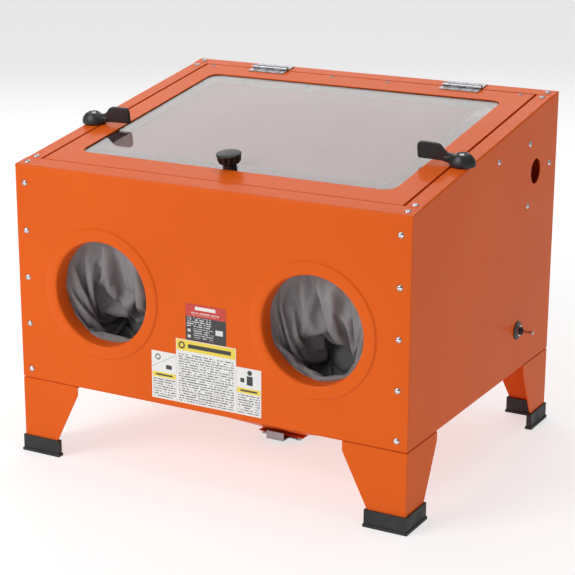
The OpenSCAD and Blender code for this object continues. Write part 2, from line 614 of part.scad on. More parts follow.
// Hood over the vent, open at the bottom, screwed on by its two flanges.
module exhaust_baffle() color(paint) difference() {
    union() {
        translate([hx - sheet - 34, 142, 334]) cube([34, 64, 112]);
        translate([hx - 2 * sheet, 127, 334]) cube([sheet, 94, 112]);
    }
    translate([hx - sheet - 33, 143, 330]) cube([40, 62, 115]);
    for (p = side_screw_spots) translate([hx, p[0], p[1]]) rotate([0, 90, 0])
        cylinder(r = 2.1, h = 12, center = true, $fn = 24);
}
module at_inlet() translate([-hx, inlet_y, inlet_z]) rotate([0, -90, 0]) children();
module air_inlet() color([0.75, 0.62, 0.32]) {
    at_inlet() difference() {
        union() {
            translate([0, 0, -16]) cylinder(r = 6.9, h = 18);
            cylinder(r = 10, h = 5, $fn = 6);
            cylinder(r = 7, h = 9);
            cylinder(r = 5.9, h = 26);
        }
        translate([0, 0, -8]) cylinder(r = 3.5, h = 50);
    }
    translate([-hx + 16, inlet_y + 9, inlet_z]) rotate([90, 0, 0]) difference() {
        cylinder(r = 7, h = 20);
        translate([0, 0, 3]) cylinder(r = 3.4, h = 30);
    }
}
module air_inlet_nut() color([0.75, 0.62, 0.32]) at_inlet() difference() {
    translate([0, 0, -sheet - 4.5]) cylinder(r = 10, h = 4.5, $fn = 6);
    translate([0, 0, -sheet - 6]) cylinder(r = 7, h = 8);
}

// ---- blast gun and its hoses ----
gun_x = -262;
module at_gun() translate([gun_x, 0, gun_z]) children();
module along_y(r, from, to, fn = 48) translate([0, to, 0]) rotate([90, 0, 0]) cylinder(r = r, h = to - from, $fn = fn);
module gun_body() color([0.68, 0.69, 0.71]) at_gun() difference() {
    union() {
        along_y(13, -64, 60);
        along_y(11, -82, -63);
        translate([-11, 0, 0]) rotate([90, 0, 90]) linear_extrude(22)
            polygon([[12, 0], [42, 0], [58, -66], [46, -78], [34, -78], [22, -40]]);
        for (x = [-11, 4.5]) translate([x, -24, -24]) cube([6.5, 20, 20]);
        translate([0, -50, -24]) cylinder(r = 8, h = 16);
    }
    along_y(5.1, -90, -60);
    at_trigger_pin(-20) cylinder(r = 2, h = 40, $fn = 32);
}
module gun_nozzle() color([0.9, 0.88, 0.82]) at_gun() difference() {
    along_y(5, -108, -62);
    along_y(3, -110, -66);
}
trigger_yz = [-14, -18];
module at_trigger_pin(x) translate([x, trigger_yz[0], trigger_yz[1]]) rotate([0, 90, 0]) children();
module trigger_pin() color(steel) at_gun() at_trigger_pin(-12) cylinder(r = 1.95, h = 24, $fn = 32);
module gun_trigger() color(black) at_gun() difference() {
    union() {
        at_trigger_pin(-4) cylinder(r = 4.2, h = 8);
        translate([-4, 0, 0]) rotate([90, 0, 90]) linear_extrude(8)
            polygon([[-17, -20], [-11, -17], [2, -38], [4, -52], [-2, -53], [-9, -38]]);
    }
    at_trigger_pin(-20) cylinder(r = 2.02, h = 40, $fn = 32);
}
module gun_cradles() color(steel) for (y = [-38, 50]) translate([gun_x, y, gun_z]) difference() {
    union() {
        rotate([90, 0, 0]) translate([0, 0, -6]) cylinder(r = 15.2, h = 6);
        translate([-hx + sheet - gun_x, 0, -2]) cube([17, 6, 2]);
        translate([-hx + sheet - gun_x, 0, -22]) cube([1.5, 6, 22]);
    }
    along_y(13.1, -10, 20);
    translate([-16, -1, 0]) cube([32, 8, 20]);
}
air_route = [[-279, 159, 160], [-278.5, 145, 159], [-276.5, 128, 156], [-273, 112, 152.5],
    [-269, 97, 151], [-265.5, 84, 153], [-262.8, 74, 158], [-262, 64, 166], [-262, 52, 178]];
module air_hose() color(black) swept(curve(air_route, 3), 5.5, [1, 0.1, 0.1], 10);
tube_top = [-228, 0, 137];
tube_end = [-50, 0, 31];
media_route = [[-228.4, 0, 137.24], [-239, 0, 143.55], [-248, -6, 152], [-256, -16, 163], [-260.5, -28, 177],
    [-262, -39, 192], [-262, -47, 207], [-262, -50, 217], [-262, -50.1, 225.6]];
module media_hose() color(black) swept(curve(media_route, 3), 8, [0.1, 1, 0.1], 12);
module pickup_tube() color([0.2, 0.2, 0.21]) {
    axis = tube_end - tube_top;
    translate(tube_top) rotate([0, acos(axis[2] / norm(axis)), atan2(axis[1], axis[0])]) difference() {
        cylinder(r = 8, h = norm(axis));
        translate([0, 0, 2]) cylinder(r = 6.2, h = norm(axis) + 1);
        for (t = [0.8, 0.9]) translate([0, 0, norm(axis) * t]) rotate([90, 0, 0])
            cylinder(r = 2.5, h = 30, center = true, $fn = 24);
    }
}

// ---- labels ----
module sticker(x0, x1, z0, z1) translate([x0, -hy - 0.3, z0]) cube([x1 - x0, 0.3, z1 - z0]);
module rating_plate() color([0.12, 0.12, 0.12]) sticker(-26.6, 34.8, 206.5, 256.5);
module care_labels() color([0.95, 0.95, 0.93]) {
    sticker(-80.6, -42.3, 117.5, 183.5);
    sticker(-42, 49.5, 117.5, 206);
    sticker(49.8, 87, 117.5, 182);
}

front_panel();
back_panel();
left_side_panel();
right_side_panel();
lid_seat();
lid_seal();
hopper();
outlet_guides();
work_grate();
grate_supports();
leg_front_left();
leg_front_right();
leg_rear_left();
leg_rear_right();
foot_front_left();
foot_front_right();
foot_rear_left();
foot_rear_right();
leg_bolts();
panel_screws();
hinge_body_leaves();
hinge_pins();
latch_screws();
glove_left();
glove_right();
glove_clamps();
lamp_tube();
lamp_end_caps();
lamp_clips();
lamp_cable();
power_jack();
switch_body();
switch_washer();
switch_nut();
exhaust_baffle();
air_inlet();
air_inlet_nut();
air_hose();
media_hose();
pickup_tube();
gun_cradles();
gun_body();
gun_nozzle();
trigger_pin();
rating_plate();
care_labels();
lid_frame();
window_pane();
window_film();
window_retainers();
hinge_lid_leaves();
lid_screws();
lid_knob();
latch_left();
latch_right();
switch_lever();
gun_trigger();
drain_gate();
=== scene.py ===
import math

import bmesh
import bpy
import numpy as np
from mathutils import Matrix, Vector, noise


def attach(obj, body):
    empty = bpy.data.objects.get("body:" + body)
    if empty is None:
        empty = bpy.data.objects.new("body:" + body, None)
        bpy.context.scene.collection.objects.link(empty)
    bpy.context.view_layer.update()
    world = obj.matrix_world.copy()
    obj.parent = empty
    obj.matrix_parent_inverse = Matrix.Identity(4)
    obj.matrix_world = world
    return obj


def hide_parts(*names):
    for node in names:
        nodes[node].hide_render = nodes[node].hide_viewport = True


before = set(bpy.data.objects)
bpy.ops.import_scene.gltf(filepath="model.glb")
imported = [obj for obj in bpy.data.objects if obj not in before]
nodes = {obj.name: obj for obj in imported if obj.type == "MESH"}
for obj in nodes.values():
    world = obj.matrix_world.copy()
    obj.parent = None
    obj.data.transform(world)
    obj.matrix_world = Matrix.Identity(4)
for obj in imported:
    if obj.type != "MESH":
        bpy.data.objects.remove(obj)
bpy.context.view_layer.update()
scene = bpy.context.scene

# Sizes that the pieces made here share with the CAD model, in metres
HALF_D, TOP_Z = 0.240, 0.412
SLOPE = math.atan(0.078 / 0.480)
PORT_X, PORT_Z = 0.160, 0.2475
LATCH_X, LATCH_S = 0.284, 0.173
KNOB_X, KNOB_S = -0.004, 0.078
GRATE_TOP = 0.121
COLLAR_Y = -0.2245  # where a glove sleeve starts on its collar
WELD_GAP = 2e-6  # points of the CAD meshes closer than this are one point
CREASE = math.radians(38)  # a sharper edge than this is bevelled or kept sharp


# ---- camera, floor and light ----
def make_camera():
    data = bpy.data.cameras.new("camera")
    data.lens, data.sensor_width = 108.96, 36.0
    data.clip_start, data.clip_end = 0.05, 60
    cam = bpy.data.objects.new("camera", data)
    scene.collection.objects.link(cam)
    az, el, roll = math.radians(28.960), math.radians(16.406), math.radians(0.211)
    back = Vector((math.sin(az) * math.cos(el), -math.cos(az) * math.cos(el), math.sin(el)))
    right = Vector((math.cos(az), math.sin(az), 0))
    up = back.cross(right)
    r = math.cos(roll) * right + math.sin(roll) * up
    u = -math.sin(roll) * right + math.cos(roll) * up
    cam.matrix_world = Matrix((
        (r.x, u.x, back.x, 1.13718), (r.y, u.y, back.y, -2.06911),
        (r.z, u.z, back.z, 0.91467), (0, 0, 0, 1)))
    scene.camera = cam


def area_light(name, at, target, size, power, color=(1, 1, 1)):
    data = bpy.data.lights.new(name, "AREA")
    data.shape, data.size, data.size_y = "RECTANGLE", size[0], size[1]
    data.energy, data.color = power, color
    lamp = bpy.data.objects.new(name, data)
    lamp.location = at
    lamp.rotation_mode = "QUATERNION"
    lamp.rotation_quaternion = (Vector(target) - Vector(at)).to_track_quat("-Z", "Y")
    scene.collection.objects.link(lamp)


def make_studio():
    world = bpy.data.worlds.new("studio")
    scene.world = world
    world.use_nodes = True
    world.node_tree.nodes["Background"].inputs["Color"].default_value = (1, 1, 1, 1)
    world.node_tree.nodes["Background"].inputs["Strength"].default_value = 0.34
    scene.view_settings.view_transform = "Standard"
    area_light("key", (-1.5, -2.6, 1.7), (0, 0, 0.2), (1.6, 1.6), 53)
    area_light("back_left", (-1.3, 1.9, 1.8), (0, 0, 0.45), (2.6, 2.0), 24)
    area_light("overhead", (0.2, -0.1, 2.4), (0, 0, 0.4), (1.6, 1.6), 12)
    bm = bmesh.new()
    bmesh.ops.create_grid(bm, x_segments=8, y_segments=8, size=14)
    floor = mesh_object("floor", bm)
    tree = Shader("floor_paper", (0.46, 0.46, 0.46), roughness=0.9,
                  Emission_Color=(1, 1, 1, 1), Emission_Strength=0.62)
    tree.bump(tree.noise(60, 3), 0.02, 0.0005)
    tree.roughness(tree.noise(4, 2), 0.82, 0.95)
    floor.data.materials.append(tree.material)


# ---- meshes ----
def mesh_object(name, bm, smooth=False):
    mesh = bpy.data.meshes.new(name)
    bm.to_mesh(mesh)
    bm.free()
    return link_mesh(name, mesh, smooth)


def link_mesh(name, mesh, smooth=False):
    shade(mesh, smooth)
    obj = bpy.data.objects.new(name, mesh)
    scene.collection.objects.link(obj)
    return obj


def from_points(name, points, faces, smooth=True):
    mesh = bpy.data.meshes.new(name)
    mesh.from_pydata([tuple(p) for p in points], [], faces)
    mesh.validate()
    mesh.update()
    return link_mesh(name, mesh, smooth)


def ring_faces(rows, sides, cap_first=True, cap_last=True, start=0):
    """Quads between rows of points that each go once round, with one face as a cap at each end."""
    faces = []
    for i in range(rows - 1):
        for k in range(sides):
            a, b = start + i * sides + k, start + i * sides + (k + 1) % sides
            faces.append((a, b, b + sides, a + sides))
    if cap_first:
        faces.append(tuple(start + k for k in reversed(range(sides))))
    if cap_last:
        faces.append(tuple(start + (rows - 1) * sides + k for k in range(sides)))
    return faces


def add_rings(points, faces, rows, cap_first=True, cap_last=True):
    """Adds one closed skin through rows of points to the lists."""
    start, sides = len(points), len(rows[0])
    for row in rows:
        points.extend(Vector(p) for p in row)
    faces.extend(ring_faces(len(rows), sides, cap_first, cap_last, start))


def apply_modifiers(obj):
    dg = bpy.context.evaluated_depsgraph_get()
    mesh = bpy.data.meshes.new_from_object(obj.evaluated_get(dg))
    old = obj.data
    obj.modifiers.clear()
    obj.data = mesh
    bpy.data.meshes.remove(old)


def remeshed(obj, voxel, smoothing):
    """Melts the overlapping closed skins of obj into one, with softly rounded edges."""
    m = obj.modifiers.new("remesh", "REMESH")
    m.mode, m.voxel_size, m.use_smooth_shade = "VOXEL", voxel, True
    s = obj.modifiers.new("smooth", "SMOOTH")
    s.factor, s.iterations = 0.5, smoothing
    apply_modifiers(obj)


def face_outwards(obj, merge=0.0):
    """Turns every face of obj outwards, after merging points closer than merge."""
    bm = bmesh.new()
    bm.from_mesh(obj.data)
    if merge:
        bmesh.ops.remove_doubles(bm, verts=bm.verts, dist=merge)
    bmesh.ops.recalc_face_normals(bm, faces=bm.faces)
    bm.to_mesh(obj.data)
    bm.free()


def shade(mesh, smooth=True):
    mesh.polygons.foreach_set("use_smooth", [smooth] * len(mesh.polygons))


SLOPE_FRAME = Matrix.Translation((0, -HALF_D, TOP_Z)) @ Matrix.Rotation(SLOPE, 4, "X")


# ---- materials ----
class Shader:
    """A Principled material, with short calls for the textures that drive it."""

    def __init__(self, name, color, metallic=0.0, roughness=0.5, **sockets):
        self.material = bpy.data.materials.new(name)
        self.material.use_nodes = True
        self.tree = self.material.node_tree
        self.bsdf = self.tree.nodes["Principled BSDF"]
        self.set("Base Color", (*color, 1))
        self.set("Metallic", metallic)
        self.set("Roughness", roughness)
        for key, value in sockets.items():
            self.set(key.replace("_", " "), value)
        self.coords = self.node("ShaderNodeTexCoord").outputs["Object"]
        self.height = None

    def set(self, key, value):
        self.bsdf.inputs[key].default_value = value

    def node(self, kind, inputs=(), **settings):
        n = self.tree.nodes.new(kind)
        for key, value in settings.items():
            setattr(n, key, value)
        for key, value in dict(inputs).items():
            if isinstance(value, bpy.types.NodeSocket):
                self.tree.links.new(value, n.inputs[key])
            else:
                n.inputs[key].default_value = value
        return n

    def link(self, value, key):
        self.tree.links.new(value, self.bsdf.inputs[key])

    def noise(self, scale, detail=2.0, roughness=0.5, stretch=None):
        vector = self.coords
        if stretch:
            vector = self.node("ShaderNodeMapping", {"Vector": vector, "Scale": stretch}).outputs[0]
        return self.node("ShaderNodeTexNoise", {
            "Vector": vector, "Scale": scale, "Detail": detail, "Roughness": roughness}).outputs["Fac"]

    def wave(self, scale, direction="X", coords=None):
        return self.node("ShaderNodeTexWave", {"Vector": coords or self.coords, "Scale": scale},
                         bands_direction=direction).outputs["Fac"]

    def math(self, operation, a, b=0.0, c=0.0, clamp=False):
        return self.node("ShaderNodeMath", {0: a, 1: b, 2: c}, operation=operation,
                         use_clamp=clamp).outputs[0]

    def spread(self, value, low, high, start=0.3, end=0.7):
        return self.node("ShaderNodeMapRange", {
            "Value": value, "From Min": start, "From Max": end, "To Min": low, "To Max": high}).outputs[0]

    def mix(self, fac, a, b):
        """Colours a and b mixed by fac; each colour is a triple or a socket."""
        n = self.node("ShaderNodeMix", data_type="RGBA")
        for socket, value in ((n.inputs[0], fac), (n.inputs[6], a), (n.inputs[7], b)):
            if isinstance(value, bpy.types.NodeSocket):
                self.tree.links.new(value, socket)
            else:
                socket.default_value = value if isinstance(value, float) else (*value, 1)
        return n.outputs[2]

    def color(self, value):
        self.link(value, "Base Color")
        return value

    def roughness(self, value, low, high):
        self.link(self.spread(value, low, high), "Roughness")

    def bump(self, height, strength, distance):
        inputs = {"Height": height, "Strength": strength, "Distance": distance}
        if self.height is not None:
            inputs["Normal"] = self.height
        self.height = self.node("ShaderNodeBump", inputs).outputs[0]
        self.link(self.height, "Normal")


def make_paint():
    s = Shader("orange_powder_coat", (0.74, 0.100, 0.012), roughness=0.34, IOR=1.15, Specular_IOR_Level=0.2,
               Coat_Weight=0.14, Coat_Roughness=0.04)
    tone = s.spread(s.noise(3.5, 3), 0.0, 1.0)
    base = s.mix(tone, (0.70, 0.105, 0.009), (0.76, 0.120, 0.011))
    speckle = s.spread(s.noise(1500, 2), 0.0, 0.10, 0.55, 0.75)
    base = s.mix(speckle, base, (0.88, 0.20, 0.05))
    s.color(base)
    s.roughness(s.noise(9, 4, 0.6), 0.30, 0.42)
    s.bump(s.noise(420, 2), 0.10, 0.0004)
    s.bump(s.noise(22, 2), 0.05, 0.0012)
    return s.material


def make_zinc(name, color, low, high, scale=55.0):
    s = Shader(name, color, metallic=1.0, roughness=low)
    grain = s.noise(scale, 4, 0.6)
    dark = tuple(c * 0.82 for c in color)
    s.color(s.mix(s.spread(grain, 0.0, 1.0), dark, color))
    s.roughness(s.noise(scale * 2, 3), low, high)
    s.bump(s.noise(1400, 2, stretch=(1, 0.08, 1)), 0.12, 0.0001)
    return s.material


def make_plastic(name, color, low, high, grain=900.0, depth=0.0002, coat=0.0):
    s = Shader(name, color, roughness=low, Coat_Weight=coat, Coat_Roughness=0.2)
    tone = s.spread(s.noise(14, 3), 0.0, 1.0)
    s.color(s.mix(tone, tuple(c * 0.8 for c in color), tuple(min(1, c * 1.2) for c in color)))
    s.roughness(s.noise(30, 4, 0.6), low, high)
    s.bump(s.noise(grain, 3), 0.25, depth)
    return s.material


def make_rubber():
    s = Shader("moulded_rubber", (0.018, 0.018, 0.019), roughness=0.6)
    dust = s.spread(s.noise(35, 5, 0.7), 0.0, 0.35, 0.5, 0.8)
    s.color(s.mix(dust, (0.014, 0.014, 0.015), (0.07, 0.068, 0.065)))
    s.roughness(s.noise(40, 3), 0.5, 0.75)
    s.bump(s.noise(700, 3), 0.3, 0.0003)
    return s.material


def make_pane():
    s = Shader("window_polymer", (0.82, 0.76, 0.76), roughness=0.02, Transmission_Weight=1.0,
               IOR=1.49)
    haze = s.noise(26, 4, 0.6)
    s.roughness(haze, 0.0, 0.035)
    s.bump(s.noise(5, 2), 0.02, 0.001)
    return s.material


def make_film():
    s = Shader("protective_film", (0.72, 0.62, 0.61), roughness=0.35, Alpha=0.68)
    haze = s.noise(9, 5, 0.6, stretch=(1, 0.5, 1))
    s.color(s.mix(s.spread(haze, 0.0, 1.0), (0.74, 0.58, 0.56), (0.82, 0.65, 0.63)))
    s.roughness(s.noise(40, 3), 0.25, 0.45)
    s.bump(s.noise(12, 2, 0.5), 0.05, 0.002)
    return s.material


def make_cloth():
    s = Shader("glove_fabric", (0.17, 0.175, 0.185), roughness=0.72, Sheen_Weight=0.15,
               Sheen_Roughness=0.4)
    uv = s.node("ShaderNodeUVMap", uv_map="cloth").outputs[0]
    warp, weft = s.wave(260, "X", uv), s.wave(260, "Y", uv)
    weave = s.math("MULTIPLY", warp, weft)
    tone = s.spread(s.noise(16, 4, 0.6), 0.0, 1.0)
    cloth = s.mix(tone, (0.185, 0.180, 0.188), (0.255, 0.250, 0.258))
    rubbed = s.spread(s.noise(48, 5, 0.7), 0.0, 0.45, 0.55, 0.8)
    cloth = s.mix(rubbed, cloth, (0.36, 0.355, 0.365))
    s.color(s.mix(s.spread(weave, 0.0, 0.35, 0.0, 1.0), cloth, (0.10, 0.10, 0.108)))
    s.roughness(s.noise(30, 3), 0.6, 0.82)
    s.bump(weave, 0.35, 0.0003)
    s.bump(s.noise(90, 4, 0.6), 0.3, 0.0012)
    return s.material


def make_brass():
    s = Shader("turned_brass", (0.72, 0.52, 0.22), metallic=1.0, roughness=0.28)
    tarnish = s.spread(s.noise(80, 5, 0.6), 0.0, 1.0)
    s.color(s.mix(tarnish, (0.50, 0.34, 0.13), (0.74, 0.54, 0.24)))
    s.roughness(s.noise(110, 3), 0.2, 0.42)
    s.bump(s.wave(420, "X"), 0.08, 0.0001)
    return s.material


def make_cast():
    s = Shader("cast_aluminium", (0.52, 0.53, 0.55), metallic=1.0, roughness=0.45)
    grain = s.noise(260, 5, 0.7)
    s.color(s.mix(s.spread(grain, 0.0, 1.0), (0.42, 0.43, 0.45), (0.58, 0.59, 0.61)))
    s.roughness(grain, 0.38, 0.58)
    s.bump(grain, 0.35, 0.0005)
    return s.material


def make_ceramic():
    s = Shader("fired_ceramic", (0.78, 0.75, 0.67), roughness=0.4, Coat_Weight=0.2)
    s.color(s.mix(s.spread(s.noise(200, 4), 0.0, 1.0), (0.70, 0.66, 0.57), (0.82, 0.79, 0.72)))
    s.roughness(s.noise(90, 3), 0.3, 0.5)
    s.bump(s.noise(1200, 2), 0.2, 0.0002)
    return s.material


def make_diffuser():
    s = Shader("lamp_diffuser", (0.88, 0.88, 0.85), roughness=0.32, Transmission_Weight=0.25,
               Subsurface_Weight=0.2)
    s.color(s.mix(s.spread(s.noise(18, 3), 0.0, 1.0), (0.84, 0.84, 0.81), (0.92, 0.92, 0.90)))
    s.roughness(s.noise(40, 2), 0.26, 0.4)
    s.bump(s.wave(140, "X"), 0.05, 0.0003)
    return s.material


class Print(Shader):
    """Flat print on a label: blocks, rules and rows of plain dashes, laid out in metres."""

    def __init__(self, name, paper):
        super().__init__(name, paper, roughness=0.4, Coat_Weight=0.25)
        split = self.node("ShaderNodeSeparateXYZ", {"Vector": self.coords})
        self.x, self.z = split.outputs["X"], split.outputs["Z"]
        self.ink = paper

    def inside(self, x0, x1, z0, z1):
        across = self.math("COMPARE", self.x, (x0 + x1) / 2, abs(x1 - x0) / 2)
        along = self.math("COMPARE", self.z, (z0 + z1) / 2, abs(z1 - z0) / 2)
        return self.math("MULTIPLY", across, along)

    def block(self, x0, x1, z0, z1, color):
        self.ink = self.mix(self.inside(x0, x1, z0, z1), self.ink, color)

    def disc(self, x, z, radius, color, hole=0.0):
        dx, dz = self.math("SUBTRACT", self.x, x), self.math("SUBTRACT", self.z, z)
        reach = self.math("SQRT", self.math("ADD", self.math("MULTIPLY", dx, dx),
                                            self.math("MULTIPLY", dz, dz)))
        mask = self.math("COMPARE", reach, (radius + hole) / 2, (radius - hole) / 2)
        self.ink = self.mix(mask, self.ink, color)

    def slant(self, x0, z0, x1, z1, width, color):
        """A straight rule from one point to another."""
        length = math.hypot(x1 - x0, z1 - z0)
        a, b = (z1 - z0) / length, -(x1 - x0) / length
        off = self.math("ADD", self.math("MULTIPLY", self.x, a), self.math("MULTIPLY", self.z, b))
        band = self.math("COMPARE", off, a * x0 + b * z0, width / 2)
        mask = self.math("MULTIPLY", band, self.inside(min(x0, x1), max(x0, x1), min(z0, z1), max(z0, z1)))
        self.ink = self.mix(mask, self.ink, color)

    def dashes(self, x0, x1, z0, z1, pitch, color, seed=0.0, share=0.48):
        """Rows of plain dashes of uneven length, as small print looks from a distance."""
        row = self.math("DIVIDE", self.z, pitch)
        lines = self.math("COMPARE", self.math("FRACT", row), 0.5, 0.24)
        number = self.math("FLOOR", row)
        at = self.node("ShaderNodeCombineXYZ", {
            "X": self.math("MULTIPLY", self.x, 420.0), "Y": self.math("MULTIPLY", number, 7.31),
            "Z": seed}).outputs[0]
        words = self.node("ShaderNodeTexNoise", {"Vector": at, "Scale": 1.0, "Detail": 1.0}).outputs["Fac"]
        words = self.math("GREATER_THAN", words, 1 - share - 0.07)
        mask = self.math("MULTIPLY", self.math("MULTIPLY", lines, words), self.inside(x0, x1, z0, z1))
        self.ink = self.mix(mask, self.ink, color)

    def done(self):
        self.color(self.ink)
        self.roughness(self.noise(60, 3), 0.3, 0.5)
        self.bump(self.noise(300, 2), 0.08, 0.0001)
        return self.material


INK = (0.03, 0.03, 0.032)
GREY_INK = (0.16, 0.16, 0.165)
YELLOW = (0.80, 0.62, 0.05)


def make_care_print():
    p = Print("care_label_print", (0.78, 0.78, 0.76))
    # Middle label: a yellow head with two plain bars, and rows of dashes below
    p.block(-0.0412, 0.0487, 0.1905, 0.2052, YELLOW)
    p.disc(-0.0330, 0.1978, 0.0050, INK, 0.0028)
    p.block(-0.0235, 0.0420, 0.1950, 0.2005, INK)
    p.dashes(-0.0385, 0.0460, 0.1200, 0.1880, 0.0034, GREY_INK)
    # Left label: two plain shapes on either side of a rule, a yellow band, dashes
    p.slant(-0.0800, 0.1610, -0.0430, 0.1810, 0.0005, GREY_INK)
    p.disc(-0.0705, 0.1755, 0.0042, INK, 0.0026)
    p.block(-0.0580, -0.0490, 0.1600, 0.1660, INK)
    p.block(-0.0795, -0.0430, 0.1475, 0.1545, YELLOW)
    p.block(-0.0740, -0.0480, 0.1498, 0.1522, INK)
    p.dashes(-0.0785, -0.0440, 0.1200, 0.1455, 0.0034, GREY_INK, 3.0)
    # Right label: a plain dot over a bar, a yellow band, dashes
    p.disc(0.0700, 0.1760, 0.0035, INK)
    p.block(0.0655, 0.0745, 0.1590, 0.1715, INK)
    p.block(0.0560, 0.0620, 0.1620, 0.1680, INK)
    p.block(0.0508, 0.0860, 0.1475, 0.1545, YELLOW)
    p.block(0.0560, 0.0810, 0.1498, 0.1522, INK)
    p.dashes(0.0520, 0.0850, 0.1200, 0.1455, 0.0034, GREY_INK, 6.0)
    return p.done()


def make_plate_print():
    p = Print("rating_plate_print", INK)
    p.block(-0.0266, 0.0348, 0.2395, 0.2565, (0.55, 0.035, 0.02))
    p.dashes(-0.0180, 0.0260, 0.2420, 0.2465, 0.0032, (0.72, 0.60, 0.58), 2.0)
    p.block(-0.0120, 0.0190, 0.2490, 0.2535, (0.80, 0.76, 0.75))
    p.dashes(-0.0245, 0.0120, 0.2250, 0.2385, 0.0030, (0.62, 0.62, 0.62), 1.0)
    p.dashes(-0.0150, 0.0160, 0.2090, 0.2240, 0.0030, (0.50, 0.50, 0.50), 5.0)
    p.block(0.0190, 0.0300, 0.2190, 0.2260, (0.68, 0.68, 0.68))
    p.block(-0.0235, -0.0190, 0.2180, 0.2220, (0.62, 0.62, 0.62))
    p.block(-0.0235, -0.0190, 0.2100, 0.2140, (0.62, 0.62, 0.62))
    return p.done()


# ---- the CAD nodes' finishes ----
def sort_edges(mesh, shortest):
    """Marks the long sharp edges for the bevel and leaves the short ones plainly sharp."""
    def spot(v):
        return tuple(round(c * 2e4) for c in v.co)

    bm = bmesh.new()
    bm.from_mesh(mesh)
    bmesh.ops.remove_doubles(bm, verts=bm.verts, dist=WELD_GAP)
    length = {frozenset(map(spot, e.verts)): e.calc_length() for e in bm.edges
              if len(e.link_faces) == 2 and e.calc_face_angle() > CREASE}
    bm.free()
    found = [length.get(frozenset(spot(mesh.vertices[v]) for v in e.vertices), 0.0) for e in mesh.edges]
    weight = mesh.attributes.new("bevel_weight_edge", "FLOAT", "EDGE")
    weight.data.foreach_set("value", [1.0 if f > shortest else 0.0 for f in found])
    if "sharp_edge" in mesh.attributes:
        mesh.attributes.remove(mesh.attributes["sharp_edge"])
    sharp = mesh.attributes.new("sharp_edge", "BOOLEAN", "EDGE")
    sharp.data.foreach_set("value", [0.0 < f <= shortest for f in found])


def welded(obj, smooth=True):
    """Drops the imported normals and joins the faces of a CAD node, so that it can be smoothed."""
    mesh = obj.data
    if "custom_normal" in mesh.attributes:
        mesh.attributes.remove(mesh.attributes["custom_normal"])
    shade(mesh, smooth)
    obj.modifiers.new("weld", "WELD").merge_threshold = WELD_GAP


def finish_node(name, material, bevel=0.0, shortest=0.0):
    obj = nodes[name]
    obj.data.materials.clear()
    obj.data.materials.append(material)
    if not bevel:
        return
    if shortest:
        sort_edges(obj.data, shortest)
    welded(obj)
    b = obj.modifiers.new("bevel", "BEVEL")
    b.width, b.segments, b.angle_limit = bevel, 2, CREASE
    b.limit_method = "WEIGHT" if shortest else "ANGLE"
    b.use_clamp_overlap, b.harden_normals = False, True


SHEET_EDGE = 0.008  # on painted sheet only the edges longer than this are bevelled


def dress_nodes():
    paint = make_paint()
    zinc = make_zinc("zinc_plate", (0.38, 0.385, 0.40), 0.26, 0.42)
    chrome = make_zinc("nickel_plate", (0.62, 0.62, 0.64), 0.10, 0.22, 30.0)
    dark = make_zinc("oiled_steel", (0.20, 0.20, 0.205), 0.35, 0.55)
    plastic = make_plastic("black_moulding", (0.012, 0.012, 0.013), 0.34, 0.50)
    white = make_plastic("white_moulding", (0.80, 0.80, 0.78), 0.35, 0.5)
    hose = make_plastic("hose_rubber", (0.030, 0.030, 0.032), 0.45, 0.62, 420.0, 0.0006)
    seal = make_plastic("foam_seal", (0.035, 0.035, 0.037), 0.75, 0.92, 800.0, 0.0008)
    rubber, brass, cast, ceramic = make_rubber(), make_brass(), make_cast(), make_ceramic()
    table = [
        (paint, 0.0006, "front_panel back_panel left_side_panel right_side_panel lid_seat hopper "
         "grate_supports leg_front_left leg_front_right leg_rear_left leg_rear_right "
         "exhaust_baffle lid_frame"),
        (zinc, 0.0002, "outlet_guides hinge_body_leaves hinge_lid_leaves lamp_clips gun_cradles "
         "window_retainers drain_gate glove_clamps"),
        (zinc, 0, "leg_bolts hinge_pins trigger_pin lid_screws"),
        (chrome, 0, "panel_screws latch_screws switch_nut switch_lever"),
        (dark, 0.0003, "work_grate pickup_tube"),
        (rubber, 0.0006, "foot_front_left foot_front_right foot_rear_left foot_rear_right"),
        (plastic, 0.0003, "power_jack switch_body switch_washer gun_trigger"),
        (white, 0.0004, "lamp_end_caps"),
        (white, 0, "lamp_cable"),
        (make_diffuser(), 0, "lamp_tube"),
        (hose, 0, "air_hose media_hose"),
        (seal, 0, "lid_seal"),
        (brass, 0.0002, "air_inlet air_inlet_nut"),
        (cast, 0.0008, "gun_body"),
        (ceramic, 0.0003, "gun_nozzle"),
        (make_pane(), 0, "window_pane"),
        (make_film(), 0, "window_film"),
        (make_care_print(), 0, "care_labels"),
        (make_plate_print(), 0, "rating_plate"),
    ]
    for material, bevel, names in table:
        for name in names.split():
            finish_node(name, material, bevel, SHEET_EDGE if material is paint else 0.0)
    for names, smooth in (("air_hose media_hose lamp_cable", True), ("window_pane window_film", False)):
        for name in names.split():
            welded(nodes[name], smooth)
    return plastic, zinc


